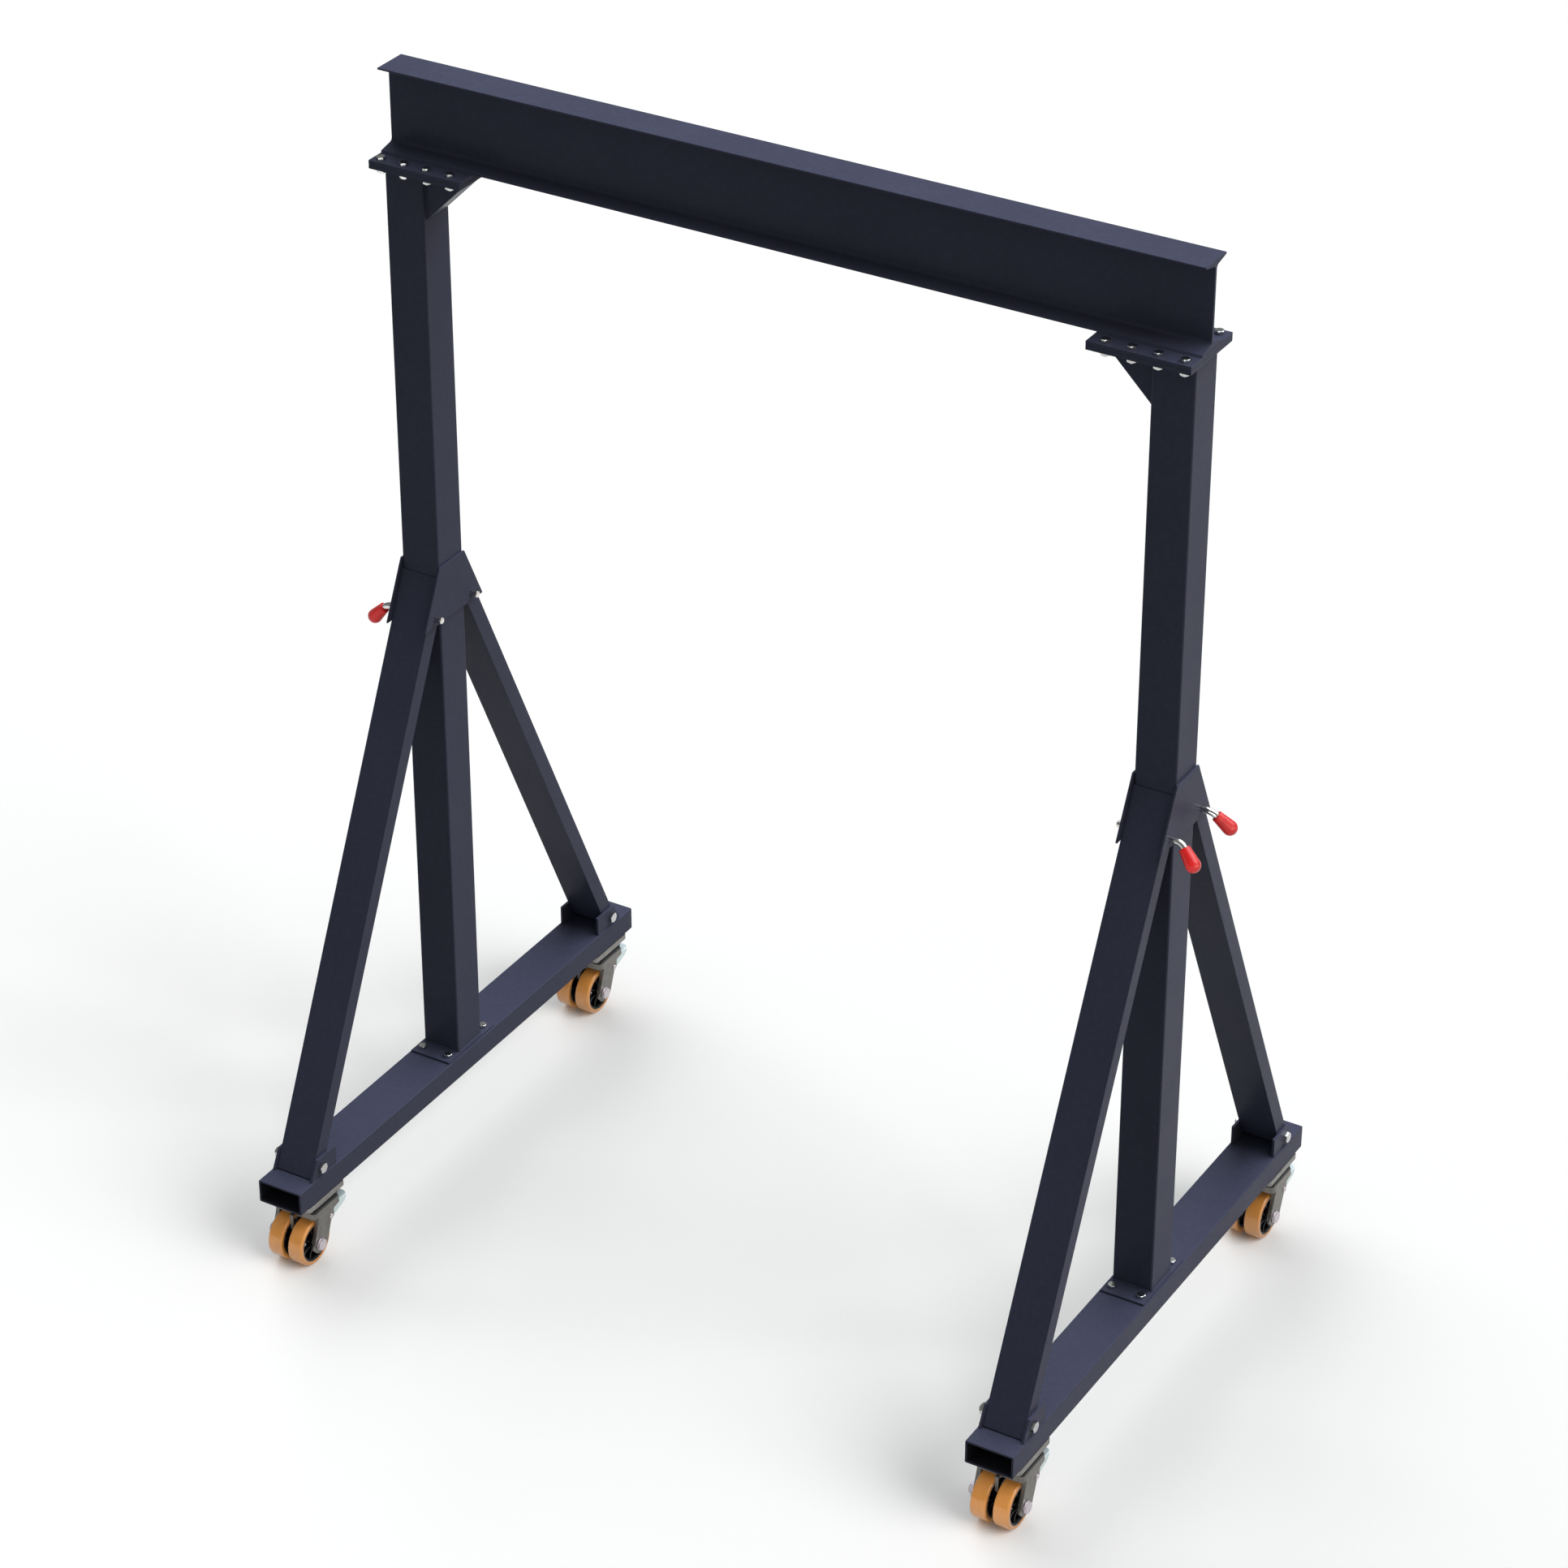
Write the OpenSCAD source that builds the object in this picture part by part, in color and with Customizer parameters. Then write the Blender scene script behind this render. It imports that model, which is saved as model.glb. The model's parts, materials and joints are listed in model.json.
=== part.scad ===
// Portable gantry crane: an I-beam on two braced masts, each standing on a base tube with two
// braked twin-wheel swivel casters. Millimetres, +X along the beam, +Z up, origin on the floor
// below the middle of the beam.

/* [Beam] */
// overall length of the I-beam
beam_length = 2020; // [1700:10:3000]
// overall height of the I-beam
beam_height = 200; // [180:5:240]
// width of each beam flange
beam_flange_w = 92; // [84:2:104]
// thickness of the beam web
beam_web_t = 7.5; // [6:0.5:10]
// thickness of a flange at its edge
flange_tip_t = 4.5; // [4:0.5:7]
// thickness of a flange where it meets the web
flange_root_t = 14; // [12:0.5:16]

/* [Legs] */
// distance between the two masts, centre to centre
leg_spacing = 1900; // [1600:10:2800]
// height of the mast's head plate underside above the floor
head_z = 2585; // [2300:5:2900]
// side of the square mast tube
mast_size = 100; // [90:2:110]
// wall of the mast tube
mast_wall = 5; // [4:0.5:6]
// outer corner radius of the mast tube
mast_corner_r = 5; // [4:0.5:8]
// thickness of each of the two bolted plates at the mast head
plate_t = 10; // [8:1:12]
// leg length of the triangular haunch under the head plate
haunch_leg = 121; // [100:1:125]
// width of the haunch
haunch_w = 76; // [60:2:80]

/* [Base] */
// length of each base tube
base_length = 1456; // [1400:4:1600]
// width of each base tube
base_w = 120; // [116:2:124]
// height of each base tube
base_h = 60; // [56:2:70]
// wall of each base tube
base_wall = 5; // [4:0.5:6]
// outer corner radius of each base tube
base_corner_r = 3; // [2:0.5:6]
// thickness of the plate under each mast
foot_plate_t = 5; // [4:1:10]

/* [Braces] */
// angle of each brace from the vertical, degrees
brace_angle = 24.95; // [24.5:0.05:25.4]
// distance of each lower brace bolt from the middle of the base tube
brace_foot_y = 636; // [634:1:640]
// height of the lower brace bolts above the top of the base tube
brace_foot_z = 24; // [24:0.5:28]
// width of the rectangular brace tube
brace_w = 99; // [98:0.5:99.4]
// depth of the rectangular brace tube
brace_d = 40; // [36:1:44]
// wall of the brace tube
brace_wall = 4; // [3:0.5:5]
// thickness of the bracket plates on the masts
bracket_t = 5; // [4:0.5:8]
// thickness of the brace lugs on the base tubes
lug_t = 6.5; // [5:0.5:8]

/* [Locking pins] */
// diameter of the bent locking pins
pin_d = 16; // [14:1:18]
// distance of each locking pin from the middle plane of its mast
pin_y = 74; // [73:0.5:76]
// angle through which the handle end of each pin is bent
pin_bend = 47.5; // [40:0.5:60]
// angle by which each handle on the right leg leans away from the mast
pin_lean_right = 22; // [0:1:40]
// angle by which each handle on the left leg leans away from the mast
pin_lean_left = 0; // [0:1:40]

/* [Casters] */
// height from the floor to the underside of the base tube
caster_h = 180; // [178:1:190]
// diameter of each wheel
wheel_d = 120; // [112:1:122]
// width of each wheel
wheel_w = 40; // [34:1:41]
// gap between the two wheels of a caster
wheel_gap = 17; // [14:1:19]
// distance of the axle behind the swivel axis
caster_trail = 37; // [34:1:40]
// distance of each swivel axis from the end of its base tube
caster_inset = 101; // [95:1:110]
// diameter of the wheel axle
axle_d = 16; // [14:1:18]

/* [Hidden] */
$fn = 48;

// which side a leg or a foot is on
LEFT = -1;
RIGHT = 1;
FRONT = -1;
REAR = 1;

paint = [0.15, 0.16, 0.21];
zinc = [0.72, 0.70, 0.70];

// how far a cutting shape runs past a face, and how far joined shapes run into each other
cut = 1;
join = 1;

leg_x = leg_spacing / 2;
base_top = caster_h + base_h;
mast_bottom = base_top + foot_plate_t;
beam_bottom = head_z + 2 * plate_t;

// head and foot plates
beam_fillet = 9;
plate_outer = beam_length / 2 - leg_x;
plate_inner = 181;
plate_half_y = 95;
head_bolt_out = 38;
head_bolt_pitch = 60.5;
head_bolt_y = 77;
foot_plate_w = 112;
foot_plate_l = 200;
foot_bolt_x = 37;
foot_bolt_y = 76;

// fasteners: fit is the clearance round a turning or sliding pin, thread_gap that inside a nut,
// and seat_gap keeps a head or nut a hair off what it clamps
bolt_d = 12;
bolt_af = 19;
bolt_head_h = 7.5;
bolt_nut_h = 10;
bolt_hole_d = 13;
pivot_d = 16;
pivot_af = 24;
pivot_head_h = 10;
pivot_nut_h = 13;
thread_out = 4;
fit = 0.1;
thread_gap = 0.1;
seat_gap = 0.05;

// braces: the centre line runs from the lower bolt up through the locking pin
foot_z = base_top + brace_foot_z;
brace_rise = (brace_foot_y - pin_y) / tan(brace_angle);
pin_z = foot_z + brace_rise;
brace_gap = 1.5;
brace_above_tube = 3;
long = 2000;
lug_x = 50;
lug_h = 50;
lug_in = 61;
lug_out = 41;

// bracket plates: a trapezium, narrow at the top
bracket_top_z = 1594;
bracket_low_z = 1452;
bracket_top_y = 51;
bracket_low_y = 119;

// locking pins, measured from the middle of the mast
pin_tip = 74;
pin_bend_x = 68.7;
pin_bend_r = 28;
grip_length = 42;
grip_r_small = 13;
grip_r_big = 17.5;
grip_bore = 30;

// casters, measured from the swivel axis with the underside of the base tube at zero
caster_y = base_length / 2 - caster_inset;
top_plate_w = 125;
top_plate_l = 142;
top_plate_t = 13;
head_half = 61.5;
crown_front = 52;
crown_back = 47;
crown_r = 12;
race_inset = 1.5;
race_top = -13.3;
race_bottom = -30;
crown_bottom = -39;
lip_bottom = -47;
cheek_t = 5;
cheek_in = head_half - cheek_t;
rim_in = 51;
axle_z = wheel_d / 2 - caster_h;
foot_r = 24;
tab_w = 8.7;
tab_t = 4;
tab_y = -62;
tab_bottom = -86;
running_gap = 0.3;
kingpin_d = 20;
kingpin_af = 30;
kingpin_nut_h = 9;
brake_y = 12;
brake_z = -70;
brake_d = 8;
brake_head_d = 13;
brake_head_h = 5;
axle_af = 27;
axle_head_h = 9;
axle_nut_h = 15;
axle_out = 1;
spacer_wall = 4;
hub_r = 49;
hub_rim = 6;
boss_r = 16;
web_w = 10;
boss_end = 1;
rib_count = 8;
rib_t = 4;
pedal_half = 56;
pedal_t = 4;
pedal_start = 30;
pedal_end = 90;
pedal_r = 14;
pedal_top = -48;
pedal_eye_r = 9;

// ---------------------------------------------------------------- basic shapes

// a rectangle with round corners, as a flat outline
module round_rect(w, h, r) {
  square([w - 2 * r, h], center = true);
  square([w, h - 2 * r], center = true);
  for (x = [-1, 1], y = [-1, 1])
    translate([x * (w / 2 - r), y * (h / 2 - r)])
      circle(r = r);
}

// a hollow rectangular tube outline
module tube_outline(w, h, wall, r) {
  difference() {
    round_rect(w, h, r);
    square([w - 2 * wall, h - 2 * wall], center = true);
  }
}

// a hexagonal block across the flats af, standing on z = 0
module hexagon(af, h) {
  cylinder(d = af / cos(30), h = h, $fn = 6);
}

// a box given by its two corners
module block(a, b) {
  translate(a)
    cube(b - a);
}

// a cylinder along +X from x0 to x1
module rod_x(d, x0, x1) {
  translate([x0, 0, 0])
    rotate([0, 90, 0])
      cylinder(d = d, h = x1 - x0);
}

// a hexagon along +X from x0 to x1
module hex_x(af, x0, x1) {
  translate([x0, 0, 0])
    rotate([0, 90, 0])
      hexagon(af, x1 - x0);
}

// a (y, z) outline given thickness along X, from x0 to x1
module slab_x(x0, x1) {
  translate([x0, 0, 0])
    rotate([90, 0, 90])
      linear_extrude(height = x1 - x0)
        children();
}

// both legs are alike, mirrored so that the outer side of each points away from the middle
module at_leg(side) {
  translate([side * leg_x, 0, 0])
    scale_x(side)
      children();
}

module scale_x(side) {
  if (side < 0)
    mirror([1, 0, 0])
      children();
  else
    children();
}

// every caster trails the same way, so a caster is only moved, never turned
module at_caster(side, end) {
  translate([side * leg_x, end * caster_y, caster_h])
    children();
}

// ---------------------------------------------------------------- beam and head

// upper right quarter of the beam section, from the flange edge in to the web
function beam_quarter() =
  let(half_h = beam_height / 2, half_w = beam_flange_w / 2, w = beam_web_t / 2,
    slope = (flange_root_t - flange_tip_t) / (half_w - w), f = beam_fillet)
  [[half_w, half_h], [half_w, half_h - flange_tip_t + 1], [half_w - 1, half_h - flange_tip_t],
    [w + f, half_h - flange_root_t + slope * f],
    [w + f * 0.25, half_h - flange_root_t - f * 0.15],
    [w, half_h - flange_root_t - f * 0.8]];

module beam() {
  quarter = beam_quarter();
  count = len(quarter);
  turn = [for (i = [0:count - 1]) quarter[count - 1 - i]];
  color(paint)
    translate([-beam_length / 2, 0, beam_bottom + beam_height / 2])
      rotate([90, 0, 90])
        linear_extrude(height = beam_length)
          polygon(concat(quarter, [for (p = turn) [p.x, -p.y]],
            [for (p = quarter) [-p.x, -p.y]], [for (p = turn) [-p.x, p.y]]));
}

// places a child at each of the eight head bolts of one leg, seen from the outer side of the leg
module at_head_bolts() {
  for (i = [0:3], y = [-1, 1])
    translate([head_bolt_out - i * head_bolt_pitch, y * head_bolt_y, 0])
      children();
}

// one head plate with its bolt holes, its underside at height z
module bolted_plate(side, z) {
  at_leg(side)
    difference() {
      block([-plate_inner, -plate_half_y, z], [plate_outer, plate_half_y, z + plate_t]);
      at_head_bolts()
        translate([0, 0, z - cut])
          cylinder(d = bolt_hole_d, h = plate_t + 2 * cut);
    }
}

module beam_plates() {
  color(paint) {
    bolted_plate(LEFT, head_z + plate_t);
    bolted_plate(RIGHT, head_z + plate_t);
  }
}

module head_plate(side) {
  color(paint)
    bolted_plate(side, head_z);
}

// a bolt standing through plates from z0 to z1, head on top
module plate_bolt(z0, z1) {
  translate([0, 0, z0 - bolt_nut_h - thread_out])
    cylinder(d = bolt_d, h = z1 - z0 + bolt_nut_h + thread_out + join);
  translate([0, 0, z1])
    hexagon(bolt_af, bolt_head_h);
}

// the nut of that bolt, under the plates
module plate_nut(z0) {
  difference() {
    translate([0, 0, z0 - bolt_nut_h])
      hexagon(bolt_af, bolt_nut_h);
    translate([0, 0, z0 - bolt_nut_h - cut])
      cylinder(d = bolt_d + thread_gap, h = bolt_nut_h + 2 * cut);
  }
}

module head_bolts() {
  color(zinc)
    for (side = [LEFT, RIGHT])
      at_leg(side)
        at_head_bolts() {
          plate_bolt(head_z, beam_bottom);
          plate_nut(head_z);
        }
}

// ---------------------------------------------------------------- masts

module mast(side) {
  color(paint)
    translate([side * leg_x, 0, mast_bottom])
      linear_extrude(height = head_z - mast_bottom)
        tube_outline(mast_size, mast_size, mast_wall, mast_corner_r);
}

// a boxed triangle under the head plate: two cheeks and a sloping cover between them
module haunch() {
  cheek = 6;
  a = mast_size / 2;
  for (y = [-haunch_w / 2, haunch_w / 2 - cheek])
    translate([0, y + cheek, head_z])
      rotate([90, 0, 0])
        linear_extrude(height = cheek)
          polygon([[-a, 0], [-a, -haunch_leg], [-a - haunch_leg, 0]]);
  translate([0, haunch_w / 2 - cheek, head_z])
    rotate([90, 0, 0])
      linear_extrude(height = haunch_w - 2 * cheek)
        polygon([[-a, -haunch_leg], [-a - haunch_leg, 0],
          [-a - haunch_leg + cheek * sqrt(2), 0], [-a, cheek * sqrt(2) - haunch_leg]]);
}

module haunches() {
  color(paint)
    for (side = [LEFT, RIGHT])
      at_leg(side)
        haunch();
}

module at_foot_bolts() {
  for (x = [-1, 1], y = [-1, 1])
    translate([x * foot_bolt_x, y * foot_bolt_y, 0])
      children();
}

module foot_plates() {
  color(paint)
    for (side = [LEFT, RIGHT])
      at_leg(side)
        difference() {
          block([-foot_plate_w / 2, -foot_plate_l / 2, base_top],
            [foot_plate_w / 2, foot_plate_l / 2, mast_bottom]);
          at_foot_bolts()
            translate([0, 0, base_top - cut])
              cylinder(d = bolt_hole_d, h = foot_plate_t + 2 * cut);
        }
}

module foot_bolts() {
  color(zinc)
    for (side = [LEFT, RIGHT])
      at_leg(side)
        at_foot_bolts() {
          plate_bolt(base_top - base_wall, mast_bottom);
          plate_nut(base_top - base_wall);
        }
}

// ---------------------------------------------------------------- base tubes

module base_tube(side) {
  color(paint)
    translate([side * leg_x, 0, 0])
      difference() {
        translate([0, base_length / 2, caster_h + base_h / 2])
          rotate([90, 0, 0])
            linear_extrude(height = base_length)
              tube_outline(base_w, base_h, base_wall, base_corner_r);
        at_foot_bolts()
          translate([0, 0, base_top - base_wall - cut])
            cylinder(d = bolt_hole_d, h = base_wall + 2 * cut);
      }
}

// one lug plate: upright on the mast side, sloping with the brace on the outer side
module brace_lug(end) {
  slope = tan(brace_angle + 4) * lug_h;
  slab_x(lug_x, lug_x + lug_t)
    difference() {
      polygon([[end * (brace_foot_y - lug_in), base_top],
        [end * (brace_foot_y + lug_out), base_top],
        [end * (brace_foot_y + lug_out - slope), base_top + lug_h],
        [end * (brace_foot_y - lug_in), base_top + lug_h]]);
      translate([end * brace_foot_y, foot_z])
        circle(d = pivot_d + 2 * fit);
    }
}

module brace_lugs() {
  color(paint)
    for (side = [LEFT, RIGHT], end = [FRONT, REAR], flip = [LEFT, RIGHT])
      translate([side * leg_x, 0, 0])
        scale_x(flip)
          brace_lug(end);
}

// the bolt through one pair of lugs and the foot of a brace, with its head straight on the lug
module pivot_bolt() {
  face = lug_x + lug_t + seat_gap;
  rod_x(pivot_d, -face - pivot_nut_h - thread_out, face + join);
  hex_x(pivot_af, face, face + pivot_head_h);
}

module pivot_nut() {
  face = lug_x + lug_t + seat_gap;
  difference() {
    hex_x(pivot_af, -face - pivot_nut_h, -face);
    rod_x(pivot_d + thread_gap, -face - pivot_nut_h - cut, cut - face);
  }
}

module pivot_bolts() {
  color(zinc)
    for (side = [LEFT, RIGHT], end = [FRONT, REAR])
      translate([side * leg_x, end * brace_foot_y, foot_z]) {
        pivot_bolt();
        pivot_nut();
      }
}

// ---------------------------------------------------------------- braces

// side outline of a brace: a straight bar, rounded at the lower bolt on the mast side only,
// square on the outer side, clear of the base tube and cut off upright beside the mast
module brace_side(end) {
  half = brace_d / 2;
  mast_face = mast_size / 2 + brace_gap;
  difference() {
    translate([end * brace_foot_y, foot_z])
      rotate(end * brace_angle) {
        translate([-half, 0])
          square([brace_d, long]);
        circle(r = half);
        translate([end > 0 ? 0 : -half, -brace_d])
          square([half, 2 * brace_d]);
      }
    translate([end * brace_foot_y - base_h, base_top + brace_above_tube - long])
      square([2 * base_h, long]);
    translate([end > 0 ? mast_face - long : -mast_face, 0])
      square([long, 2 * long]);
  }
}

module brace(side, end) {
  color(paint)
    difference() {
      translate([side * leg_x, 0, 0])
        slab_x(-brace_w / 2, brace_w / 2)
          brace_side(end);
      translate([side * leg_x, end * brace_foot_y, foot_z])
        rotate([end * brace_angle, 0, 0])
          block([brace_wall - brace_w / 2, brace_wall - brace_d / 2, -2 * brace_d],
            [brace_w / 2 - brace_wall, brace_d / 2 - brace_wall, long]);
      translate([side * leg_x, end * brace_foot_y, foot_z])
        rod_x(pivot_d + 2 * fit, -brace_w, brace_w);
      translate([side * leg_x, end * pin_y, pin_z])
        rod_x(pin_d + 2 * fit, -brace_w, brace_w);
    }
}

// a pair of plates on the two flat sides of each mast, with a hole for each locking pin
module bracket_plates() {
  color(paint)
    for (side = [LEFT, RIGHT], flip = [LEFT, RIGHT])
      translate([side * leg_x, 0, 0])
        scale_x(flip)
          slab_x(mast_size / 2, mast_size / 2 + bracket_t)
            difference() {
              polygon([[-bracket_low_y, bracket_low_z], [bracket_low_y, bracket_low_z],
                [bracket_top_y, bracket_top_z], [-bracket_top_y, bracket_top_z]]);
              for (y = [-1, 1])
                translate([y * pin_y, pin_z])
                  circle(d = pin_d + 2 * fit);
            }
}

// ---------------------------------------------------------------- locking pins

// the frame of one locking pin, rolled about the pin by the angle at which its handle leans
module at_pin(side, end) {
  at_leg(side)
    translate([0, end * pin_y, pin_z])
      rotate([end * (side == LEFT ? pin_lean_left : pin_lean_right), 0, 0])
        children();
}

// moves to the end of the bend, with +Z along the handle
module at_handle() {
  translate([pin_bend_x, 0, -pin_bend_r])
    rotate([0, pin_bend, 0])
      translate([0, 0, pin_bend_r])
        rotate([0, 90, 0])
          children();
}

// the bend is a hair thinner than the straight ends and reaches a little way into both
module lock_pin(side, end) {
  lead = 2;
  bend_overlap = 2;
  color(zinc)
    at_pin(side, end) {
      rod_x(pin_d, lead - pin_tip, pin_bend_x);
      translate([-pin_tip, 0, 0])
        rotate([0, 90, 0])
          cylinder(d1 = pin_d - 2 * lead, d2 = pin_d, h = lead);
      translate([pin_bend_x, 0, -pin_bend_r])
        rotate([90, pin_bend + bend_overlap - 90, 0])
          rotate_extrude(angle = pin_bend + 2 * bend_overlap)
            translate([pin_bend_r, 0])
              circle(d = pin_d - 0.2);
      at_handle()
        cylinder(d = pin_d, h = grip_bore);
    }
}

// a tapered grip with a round end, on the bent end of the pin
module pin_grip(side, end) {
  color([0.86, 0.16, 0.16])
    at_pin(side, end)
      at_handle()
        difference() {
          rotate_extrude()
            intersection() {
              union() {
                polygon([[0, 1], [grip_r_small, 1], [grip_r_big, grip_length], [0, grip_length]]);
                translate([0, grip_length])
                  circle(r = grip_r_big);
              }
              square([2 * grip_r_big, 2 * grip_length]);
            }
          translate([0, 0, -cut])
            cylinder(d = pin_d, h = grip_bore + cut);
        }
}

// ---------------------------------------------------------------- casters

// the plate welded under a base tube, with the kingpin that carries the fork
module caster_plates() {
  color([0.45, 0.45, 0.44])
    for (side = [LEFT, RIGHT], end = [FRONT, REAR])
      at_caster(side, end) {
        block([-top_plate_w / 2, -top_plate_l / 2, -top_plate_t],
          [top_plate_w / 2, top_plate_l / 2, 0]);
        translate([0, 0, crown_bottom - kingpin_nut_h])
          cylinder(d = kingpin_d, h = kingpin_nut_h - top_plate_t - crown_bottom + join);
        difference() {
          translate([0, 0, crown_bottom - kingpin_nut_h - running_gap])
            hexagon(kingpin_af, kingpin_nut_h);
          cylinder(d = kingpin_d + thread_gap, h = 2 * caster_h, center = true);
        }
      }
}

// plan outline of the fork's crown: round front corners and a square back
module crown_outline(inset) {
  half = head_half - inset;
  front = crown_front - inset;
  translate([-half, crown_r - crown_front])
    square([2 * half, crown_front - crown_r + crown_back - inset]);
  translate([crown_r - head_half, -front])
    square([2 * (head_half - crown_r), crown_front]);
  for (x = [-1, 1])
    translate([x * (head_half - crown_r), crown_r - crown_front])
      circle(r = crown_r - inset);
}

// the dark ball race between the top plate and the fork, turning with the fork
module raceway(side, end) {
  color([0.12, 0.12, 0.12])
    at_caster(side, end)
      translate([0, 0, race_bottom])
        difference() {
          linear_extrude(height = race_top - race_bottom)
            crown_outline(race_inset);
          translate([0, 0, -cut])
            cylinder(d = kingpin_d + 2 * fit, h = race_top - race_bottom + 2 * cut);
        }
}

// side outline of a fork cheek, in (y, z) from the swivel axis
module cheek_outline(inset) {
  difference() {
    union() {
      polygon([[inset - 38, crown_bottom], [crown_back - inset, crown_bottom],
        [crown_back - inset, -48], [24 - inset, -52], [24 - inset, -73], [12 - inset, -80],
        [-5 - inset, -129], [-14 - inset, -137],
        [-20 - inset, axle_z - 10], [-54 + inset, axle_z - 10], [-63 + inset, -126],
        [-66 + inset, -119], [-57 + inset, -112], [-36 + inset, -50]]);
      translate([-caster_trail, axle_z])
        circle(r = foot_r - inset);
    }
    translate([-caster_trail, axle_z])
      circle(d = axle_d + 2 * fit);
    translate([brake_y, brake_z])
      circle(d = brake_d + 2 * fit);
  }
}

// a cheek with a turned-in rim along its front edge and round its lower end
module fork_cheek() {
  slab_x(cheek_in, head_half)
    cheek_outline(0);
  slab_x(rim_in, cheek_in)
    intersection() {
      difference() {
        cheek_outline(0);
        cheek_outline(cheek_t);
        translate([-caster_trail, axle_z])
          circle(r = foot_r - cheek_t);
      }
      polygon([[-100, crown_bottom], [-30, crown_bottom], [-45, axle_z + 8],
        [-20, axle_z - 12], [0, -200], [-100, -200]]);
    }
}

// the fork: a crown with a lip turned down at the front and sides, a cheek on each side, and a
// narrow tab hanging from the front lip between the wheels
module fork(side, end) {
  color([0.40, 0.39, 0.38])
    at_caster(side, end) {
      difference() {
        translate([0, 0, lip_bottom])
          linear_extrude(height = race_bottom - lip_bottom)
            crown_outline(0);
        translate([0, 0, lip_bottom - cut])
          linear_extrude(height = crown_bottom - lip_bottom + cut) {
            crown_outline(cheek_t);
            translate([-cheek_in, 0])
              square([2 * cheek_in, 2 * crown_back]);
          }
        cylinder(d = kingpin_d + 2 * fit, h = 2 * caster_h, center = true);
      }
      for (flip = [LEFT, RIGHT])
        scale_x(flip)
          fork_cheek();
      block([-tab_w / 2, tab_y, tab_bottom], [tab_w / 2, tab_y + tab_t, lip_bottom + tab_t]);
      block([-tab_w / 2, tab_y, lip_bottom], [tab_w / 2, join - crown_front, lip_bottom + tab_t]);
    }
}

// a ring round an axle along X from x0 to x1
module ring_x(d, bore, x0, x1) {
  difference() {
    rod_x(d, x0, x1);
    rod_x(bore, x0 - cut, x1 + cut);
  }
}

// the wheel axle bolt with its nut and spacer rings, and the thin pivot bolt of the brake
module axle(side, end) {
  inner = wheel_gap / 2 - boss_end - running_gap;
  outer = wheel_gap / 2 + wheel_w + running_gap;
  spacer_d = axle_d + 2 * spacer_wall;
  bore = axle_d + thread_gap;
  color([0.70, 0.66, 0.68])
    at_caster(side, end) {
      translate([0, -caster_trail, axle_z]) {
        rod_x(axle_d, -head_half - axle_nut_h - axle_out, head_half + join);
        hex_x(axle_af, head_half, head_half + axle_head_h);
        difference() {
          hex_x(axle_af, -head_half - axle_nut_h, -head_half);
          rod_x(bore, -head_half - axle_nut_h - cut, cut - head_half);
        }
        ring_x(spacer_d, bore, -inner, inner);
        ring_x(spacer_d, bore, outer, cheek_in);
        ring_x(spacer_d, bore, -cheek_in, -outer);
      }
      translate([0, brake_y, brake_z]) {
        rod_x(brake_d, -head_half - join, head_half + join);
        rod_x(brake_head_d, head_half, head_half + brake_head_h);
        rod_x(brake_head_d, -head_half - brake_head_h, -head_half);
      }
    }
}

// one turned-down side of the pedal, in (y, z) from the swivel axis
module pedal_side() {
  difference() {
    union() {
      polygon([[brake_y, brake_z + pedal_eye_r], [pedal_start, pedal_top - pedal_t],
        [pedal_start, pedal_top], [pedal_end - pedal_r, pedal_top],
        [pedal_end - pedal_r, pedal_top - 18], [pedal_end - 46, pedal_top - 29],
        [brake_y, brake_z - pedal_eye_r]]);
      translate([brake_y, brake_z])
        circle(r = pedal_eye_r);
    }
    translate([brake_y, brake_z])
      circle(d = brake_d + 2 * fit);
  }
}

// plan outline of the pedal's tread plate, rounded at the toe
module pedal_plan(inset) {
  half = pedal_half - inset;
  translate([-half, pedal_start])
    square([2 * half, pedal_end - pedal_r - pedal_start]);
  translate([pedal_r - pedal_half, pedal_start])
    square([2 * (pedal_half - pedal_r), pedal_end - pedal_start - inset]);
  for (x = [-1, 1])
    translate([x * (pedal_half - pedal_r), pedal_end - pedal_r])
      circle(r = pedal_r - inset);
}

// the foot lever that blocks the caster: a tread plate with a turned-down rim round the toe and
// two sides hung on the brake bolt
module pedal(side, end) {
  rim_h = 14;
  color([0.78, 0.87, 0.88])
    at_caster(side, end) {
      for (s = [LEFT, RIGHT])
        scale_x(s)
          slab_x(pedal_half - pedal_t, pedal_half)
            pedal_side();
      translate([0, 0, pedal_top - pedal_t])
        linear_extrude(height = pedal_t)
          pedal_plan(0);
      translate([0, 0, pedal_top - rim_h])
        linear_extrude(height = rim_h)
          difference() {
            pedal_plan(0);
            pedal_plan(pedal_t);
            translate([-pedal_half, 0])
              square([2 * pedal_half, pedal_end - pedal_r]);
          }
    }
}

// moves to the inner face of one of the two wheels, with +Z along the axle and outwards
module at_wheel(side, end, wheel) {
  at_caster(side, end)
    translate([wheel * wheel_gap / 2, -caster_trail, axle_z])
      rotate([0, wheel * 90, 0])
        children();
}

module hub(side, end, wheel) {
  color([0.05, 0.05, 0.06])
    at_wheel(side, end, wheel)
      difference() {
        union() {
          rotate_extrude()
            translate([hub_r - hub_rim, 0])
              square([hub_rim, wheel_w]);
          translate([0, 0, -boss_end])
            cylinder(r = boss_r, h = wheel_w + boss_end);
          translate([0, 0, (wheel_w - web_w) / 2])
            cylinder(r = hub_r - 1, h = web_w);
          for (i = [0:rib_count - 1])
            rotate(i * 360 / rib_count)
              translate([boss_r - 2, -rib_t / 2, 5])
                cube([hub_r - hub_rim - boss_r + 4, rib_t, wheel_w - 10]);
        }
        translate([0, 0, -wheel_w])
          cylinder(d = axle_d + 2 * fit, h = 3 * wheel_w);
      }
}

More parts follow.
